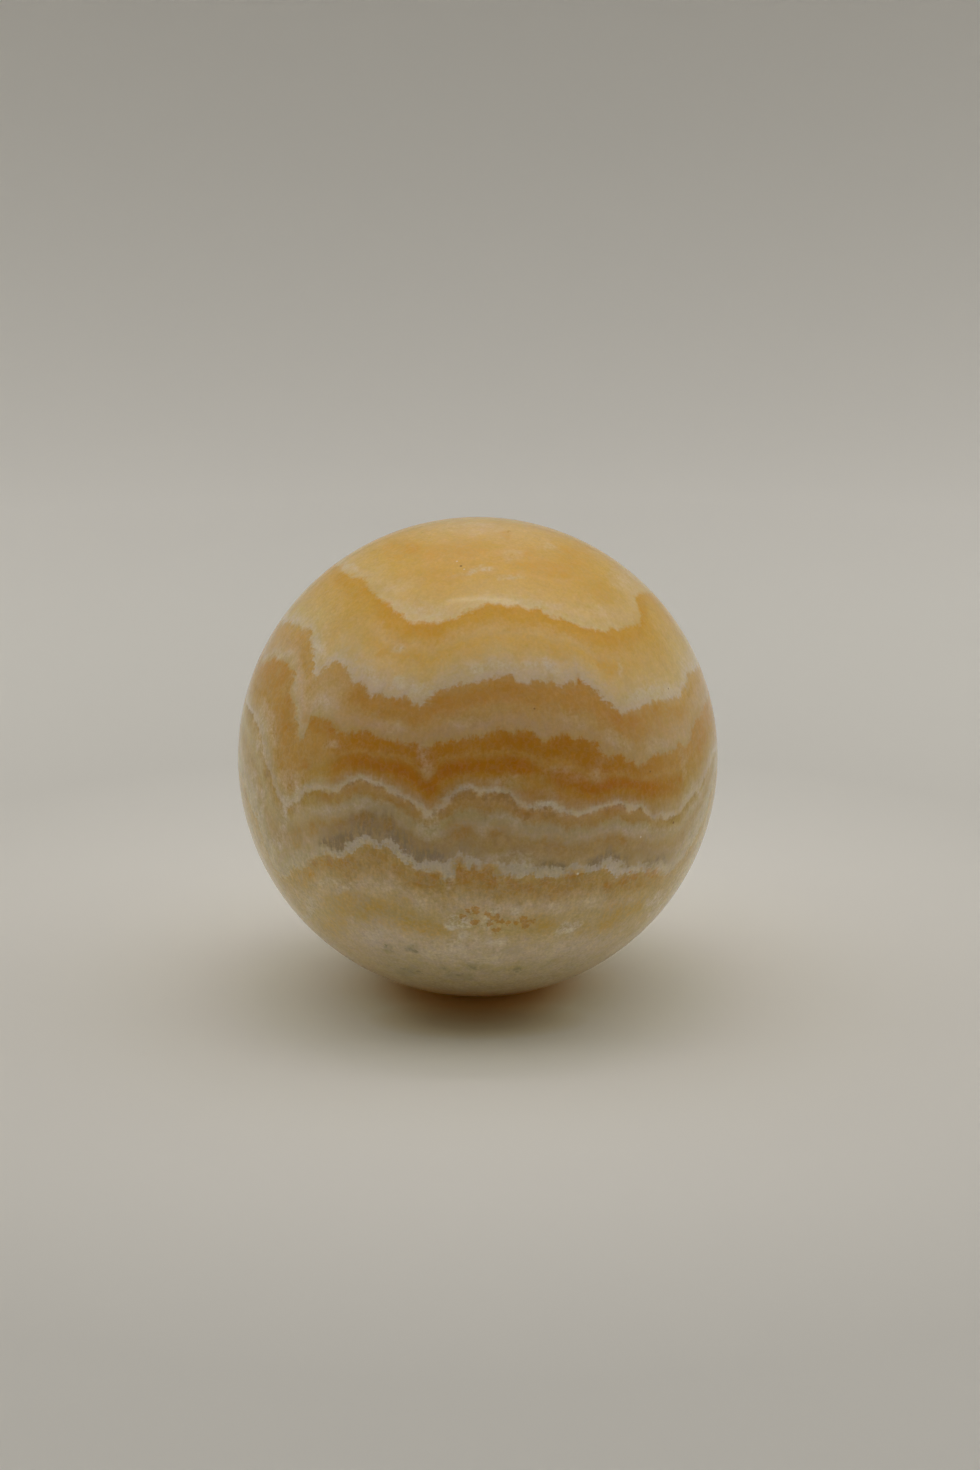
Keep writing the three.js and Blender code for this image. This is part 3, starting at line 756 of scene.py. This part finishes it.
class Nodes:
    """Adds nodes to a material and joins them up. A value may be a number or another node's output."""

    def __init__(self, tree):
        self.tree = tree
        position = tree.nodes.new("ShaderNodeTexCoord").outputs["Object"]
        self.position_mm = self.vectors("MULTIPLY", position, (1 / MM, 1 / MM, 1 / MM))

    def put(self, socket, value):
        """Joins or sets one input. A colour is given as (red, green, blue)."""
        if isinstance(value, bpy.types.NodeSocket):
            self.tree.links.new(value, socket)
        elif socket.type == "RGBA":
            socket.default_value = (*value, 1)
        else:
            socket.default_value = value

    def attribute(self, name):
        node = self.tree.nodes.new("ShaderNodeAttribute")
        node.attribute_name = name
        return node.outputs["Fac"]

    def maths(self, operation, *values, clamp=False):
        node = self.tree.nodes.new("ShaderNodeMath")
        node.operation = operation
        node.use_clamp = clamp
        for socket, value in zip(node.inputs, values):
            self.put(socket, value)
        return node.outputs[0]

    def times(self, first, second, clamp=False):
        return self.maths("MULTIPLY", first, second, clamp=clamp)

    def plus(self, base, value, share, clamp=False):
        """The base with a share of the value added to it."""
        return self.maths("MULTIPLY_ADD", value, share, base, clamp=clamp)

    def vectors(self, operation, first, second):
        node = self.tree.nodes.new("ShaderNodeVectorMath")
        node.operation = operation
        self.put(node.inputs[0], first)
        self.put(node.inputs[1], second)
        return node.outputs["Value" if operation == "DISTANCE" else "Vector"]

    def noise(self, waves, position=None):
        """Noise from about -1 to 1."""
        node = self.tree.nodes.new("ShaderNodeTexNoise")
        self.put(node.inputs["Vector"], self.position_mm if position is None else position)
        for name, value in zip(("Scale", "Detail", "Roughness"), waves):
            self.put(node.inputs[name], value)
        return self.plus(-2.0, node.outputs["Fac"], 4.0)

    def ramp(self, value, stops):
        node = self.tree.nodes.new("ShaderNodeValToRGB")
        elements = node.color_ramp.elements
        while len(elements) < len(stops):
            elements.new(0.5)
        for element, (place, colour) in zip(elements, stops):
            element.position = place
            element.color = (*colour, 1)
        self.put(node.inputs["Fac"], value)
        return node.outputs["Color"]

    def rings(self, position, middle, ring_colours):
        """Colours by distance from a middle, given as (distance, colour) with the nearest first."""
        farthest = ring_colours[-1][0]
        distance = self.vectors("DISTANCE", position, middle)
        share = self.maths("DIVIDE", distance, float(farthest), clamp=True)
        return self.ramp(share, [(place / farthest, ring_colour) for place, ring_colour in ring_colours])

    def mix(self, share, first, second, blend="MIX"):
        node = self.tree.nodes.new("ShaderNodeMix")
        node.data_type = "RGBA"
        node.blend_type = blend
        factor, first_socket, second_socket = (
            [socket for socket in node.inputs if socket.name == name and socket.enabled][0]
            for name in ("Factor", "A", "B")
        )
        self.put(factor, share)
        self.put(first_socket, first)
        self.put(second_socket, second)
        return [socket for socket in node.outputs if socket.enabled][0]

    def cloudy(self, name, clouds, grain):
        """A painted mark's strength, uneven and grainy."""
        uneven = self.plus(1.0, clouds, 1.3)
        uneven = self.plus(uneven, grain, 0.8)
        return self.times(self.attribute(name), uneven, clamp=True)

    def near_points(self, seen_points, uneven=0.0, sharpness=8):
        """1 inside small places on the photographed side, which fade out at their round or uneven rims."""
        inside = 0.0
        for right, up, radius in seen_points:
            place = on_the_ball([(right, up)])[0] + (0, 0, CENTRE_HEIGHT / MM)
            distance = self.vectors("DISTANCE", self.position_mm, tuple(place))
            distance = self.maths("ADD", distance, uneven)
            spot = self.plus(sharpness * radius + 0.5, distance, -sharpness, clamp=True)
            inside = self.maths("MAXIMUM", inside, spot)
        return inside


def new_material(name):
    """A new material, its shader and its nodes."""
    material = bpy.data.materials.new(name)
    material.use_nodes = True
    return material, material.node_tree.nodes["Principled BSDF"], Nodes(material.node_tree)


def make_camera():
    """Looks at the ball from the photographed side, with the ball where it is in the photograph."""
    camera_data = bpy.data.cameras.new("camera")
    camera_data.lens = LENS_MM
    camera_data.sensor_width = SENSOR_MM
    camera_data.clip_start = 0.01
    camera_data.clip_end = 10
    camera = add_object("camera", camera_data)

    pixel_angle = SENSOR_MM / LENS_MM / FRAME_HEIGHT_PX
    turn_right = (FRAME_WIDTH_PX / 2 - BALL_CENTRE_PX[0]) * pixel_angle
    turn_up = (BALL_CENTRE_PX[1] - FRAME_HEIGHT_PX / 2) * pixel_angle
    camera.location = BALL_CENTRE + Vector(TO_CAMERA) * VIEW_DISTANCE
    camera.rotation_euler = (math.pi / 2 - VIEW_ELEVATION + turn_up, 0, -turn_right)
    bpy.context.scene.camera = camera


def make_stage():
    """A pale surface that curves up into a wall all round, so every view has the same backdrop."""
    rings = [(FLOOR_RADIUS, 0)]
    for step in range(1, CURVE_STEPS + 1):
        angle = math.pi / 2 * step / CURVE_STEPS
        rings.append((
            FLOOR_RADIUS + CURVE_RADIUS * math.sin(angle),
            CURVE_RADIUS * (1 - math.cos(angle)),
        ))
    rings.append((FLOOR_RADIUS + CURVE_RADIUS, WALL_TOP))
    mesh, _ = turned_mesh("backdrop", rings, STAGE_SEGMENTS)

    # An orange glow painted right under the ball stands in for light that passes through the stone, and a
    # painted shade darkens the surface in front of the foot
    paper, shader, nodes = new_material("backdrop_paper")
    painted_glow = nodes.rings(nodes.position_mm, PAINTED_GLOW_PLACE, PAINTED_GLOW_AND_FALLOFF)
    squeezed = nodes.vectors("MULTIPLY", nodes.position_mm, SHADE_SQUEEZE)
    shade = nodes.rings(squeezed, SHADE_PLACE, SHADE_COLOURS)
    nodes.put(shader.inputs["Base Color"], nodes.mix(1.0, painted_glow, shade, "MULTIPLY"))
    shader.inputs["Roughness"].default_value = 0.9
    shader.inputs["Specular IOR Level"].default_value = 0.1
    mesh.materials.append(paper)
    backdrop = add_object("backdrop", mesh)


def add_area_light(name, size, watts, place):
    light = bpy.data.lights.new(name, "AREA")
    light.shape = "RECTANGLE"
    light.size, light.size_y = size
    light.energy = watts
    added = add_object(name, light)
    added.location = place
    return added


def make_lights():
    """One wide soft light overhead and a little behind the ball, and dim light from all round."""
    overhead = add_area_light("overhead", OVERHEAD_SIZE, OVERHEAD_WATTS, OVERHEAD_PLACE)
    overhead.visible_glossy = False
    # A thin strip just under it gives the polished top its faint highlight
    add_area_light("strip", STRIP_SIZE, STRIP_WATTS, STRIP_PLACE)

    world = bpy.context.scene.world or bpy.data.worlds.new("world")
    bpy.context.scene.world = world
    world.use_nodes = True
    background = world.node_tree.nodes["Background"]
    background.inputs["Color"].default_value = (*SURROUND_COLOUR, 1)
    background.inputs["Strength"].default_value = SURROUND_STRENGTH


def make_ball():
    """The ball's fine surface: the flat, then rings from its rim up to the top."""
    rings = [(FOOT_RADIUS * ring / FOOT_RINGS, 0) for ring in range(1, FOOT_RINGS + 1)]
    angles = np.linspace(math.asin(FOOT_RADIUS / BALL_RADIUS), math.pi, RINGS + 1)
    for angle in angles[1:-1]:
        rings.append((BALL_RADIUS * math.sin(angle), CENTRE_HEIGHT - BALL_RADIUS * math.cos(angle)))
    mesh, vertices = turned_mesh("banded_calcite_ball", rings, SEGMENTS, CENTRE_HEIGHT + BALL_RADIUS)

    points = (vertices - np.array(BALL_CENTRE)) / MM
    for name, values in surface_values(points).items():
        attribute = mesh.attributes.new(name, "FLOAT", "POINT")
        attribute.data.foreach_set("value", values.astype(np.float32))
    return add_object("banded_calcite_ball", mesh)


def edge_teeth(nodes, upright, steep):
    """Shift of the edges in teeth: round lobes with sharp valleys between them.

    The teeth point up, or sideways where an edge is steep.
    """
    sideways = nodes.vectors("MULTIPLY", nodes.position_mm, (0.25, 0.25, 1))
    teeth = TEETH_MIDDLE
    for waves, size in TEETH_SIZES:
        upright_lobes = nodes.maths("ABSOLUTE", nodes.noise(waves, upright))
        sideways_lobes = nodes.maths("ABSOLUTE", nodes.noise(waves, sideways))
        upright_share = nodes.times(upright_lobes, nodes.maths("SUBTRACT", 1.0, steep))
        lobes = nodes.plus(upright_share, sideways_lobes, steep)
        teeth = nodes.plus(teeth, lobes, size)
    teeth = nodes.plus(teeth, nodes.noise(FINE_TEETH), 0.16)
    return nodes.times(teeth, nodes.plus(1.0, steep, 1.2))


def with_white_line(nodes, colour, below_edge, steep, clouds):
    """The colour with a thin white line along the layer's upper edge, fainter where the edge is steep."""
    width = nodes.plus(LINE_WIDTH, clouds, 0.6)
    width = nodes.plus(width, steep, 0.25)
    line = nodes.plus(0.5, nodes.maths("SUBTRACT", width, below_edge), LINE_SHARPNESS, clamp=True)
    line = nodes.times(line, nodes.plus(0.85, steep, -0.4))
    return nodes.mix(line, colour, LINE_COLOUR)


def layered_colour(nodes, upright, fibres, clouds, grain):
    """The layers' colours, each laid over the one above it from its toothed upper edge down."""
    steep = nodes.attribute("steep")
    layer = nodes.attribute("layer")
    per_mm = nodes.attribute("layers_per_mm")
    teeth = edge_teeth(nodes, upright, steep)
    wobble = nodes.times(nodes.noise(WOBBLE), 0.15)
    soot_share = nodes.cloudy("soot", fibres, grain)
    rich_share = nodes.plus(nodes.attribute("rich"), nodes.noise(PATCHES), 0.16)
    rich_share = nodes.plus(rich_share, clouds, 0.14, clamp=True)

    colour = None
    for number, (rich_stops, pale_stops) in enumerate(LAYER_COLOURS):
        below_edge = nodes.maths("DIVIDE", nodes.maths("SUBTRACT", layer, float(number)), per_mm)
        below_edge = nodes.maths("ADD", below_edge, nodes.plus(wobble, teeth, TEETH_REACH[number]))
        feathered = nodes.plus(below_edge, fibres, 0.25)
        feathered = nodes.plus(feathered, clouds, 0.35)
        depth = nodes.times(feathered, per_mm, clamp=True)
        layer_colour = nodes.mix(rich_share, nodes.ramp(depth, pale_stops), nodes.ramp(depth, rich_stops))
        if number == LINE_LAYER:
            layer_colour = nodes.mix(soot_share, layer_colour, SOOT_COLOUR)
            layer_colour = with_white_line(nodes, layer_colour, below_edge, steep, clouds)
        if number == 0:
            colour = layer_colour
        else:
            inside = nodes.plus(0.5, below_edge, 1 / EDGE_BORDER[number - 1], clamp=True)
            colour = nodes.mix(inside, colour, layer_colour)
    return colour


def with_marks(nodes, colour, clouds, grain):
    """The colour with the soft marks painted over it, then the flecks and the small spots."""
    for name, _, _, mark_colour, blend in MARKS:
        colour = nodes.mix(nodes.cloudy(name, clouds, grain), colour, mark_colour, blend)
    flecks = nodes.plus(nodes.attribute("flecks"), nodes.noise(FLECK_EDGE), 0.5)
    flecks = nodes.plus(-1.3, flecks, 3.0, clamp=True)
    colour = nodes.mix(nodes.times(flecks, 0.7), colour, FLECK_COLOUR)
    uneven = nodes.times(nodes.noise(SPOT_EDGE), 0.45)
    for places, sharpness, strength, spot_colour in SPOTS:
        spots = nodes.near_points(places, uneven, sharpness)
        colour = nodes.mix(nodes.times(spots, strength), colour, spot_colour)
    return colour


def growth_lines(nodes):
    """Noise drawn out along the layers into fine lines."""
    along = nodes.vectors("MULTIPLY", nodes.position_mm, (0.07, 0.07, 0))
    down = nodes.tree.nodes.new("ShaderNodeCombineXYZ")
    nodes.put(down.inputs["Z"], nodes.times(nodes.attribute("growth"), 0.55))
    return nodes.noise(GROWTH_LINES, nodes.vectors("ADD", along, down.outputs[0]))


def mottled(nodes, colour, fibres, clouds, grain):
    """The colour with cream veins between crumbs of stone, uneven brightness and growth lines."""
    mottle = nodes.attribute("mottle")
    crumbs = nodes.maths("ABSOLUTE", nodes.noise(CRUMBS))
    veins = nodes.plus(1.0, crumbs, -3.2, clamp=True)
    colour = nodes.mix(nodes.times(veins, nodes.times(mottle, 0.10)), colour, VEIN_COLOUR)

    lines = growth_lines(nodes)
    shade = nodes.times(clouds, 0.075)
    shade = nodes.plus(shade, grain, 0.10)
    shade = nodes.plus(shade, fibres, 0.06)
    shade = nodes.plus(1.0, shade, mottle)
    shade = nodes.plus(shade, lines, 0.04)
    blue = nodes.plus(shade, nodes.noise(TINT), 0.14)
    blue = nodes.plus(blue, lines, 0.12)
    brightness = nodes.tree.nodes.new("ShaderNodeCombineColor")
    for socket, value in zip(brightness.inputs, (shade, shade, blue)):
        nodes.put(socket, value)
    return nodes.mix(1.0, colour, brightness.outputs[0], "MULTIPLY")


def make_stone():
    """Banded calcite: each layer's colours between its edges, then the marks and the mottling."""
    stone, shader, nodes = new_material("banded_calcite")
    upright = nodes.vectors("MULTIPLY", nodes.position_mm, (1, 1, 0.25))
    fibres = nodes.noise(FIBRES, upright)
    clouds = nodes.noise(CLOUDS)
    grain = nodes.noise(GRAIN)

    colour = layered_colour(nodes, upright, fibres, clouds, grain)
    colour = with_marks(nodes, colour, clouds, grain)
    colour = mottled(nodes, colour, fibres, clouds, grain)
    # Dark pits, then near-white dots that paint the glints of bright crystals
    for places, strength, dot_colour in DOTS:
        colour = nodes.mix(nodes.times(nodes.near_points(places), strength), colour, dot_colour)

    nodes.put(shader.inputs["Base Color"], colour)
    nodes.put(shader.inputs["Roughness"], nodes.plus(0.13, grain, 0.03))
    shader.inputs["Specular IOR Level"].default_value = 0.18
    shader.inputs["Subsurface Weight"].default_value = 0.25
    shader.inputs["Subsurface Radius"].default_value = (5, 2.5, 1)
    shader.inputs["Subsurface Scale"].default_value = MM
    return stone


make_camera()
make_stage()
make_lights()
bpy.context.scene.view_settings.view_transform = "Standard"

ball = make_ball()
ball.data.materials.append(make_stone())
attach(ball, "root")
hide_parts("calcite_sphere")
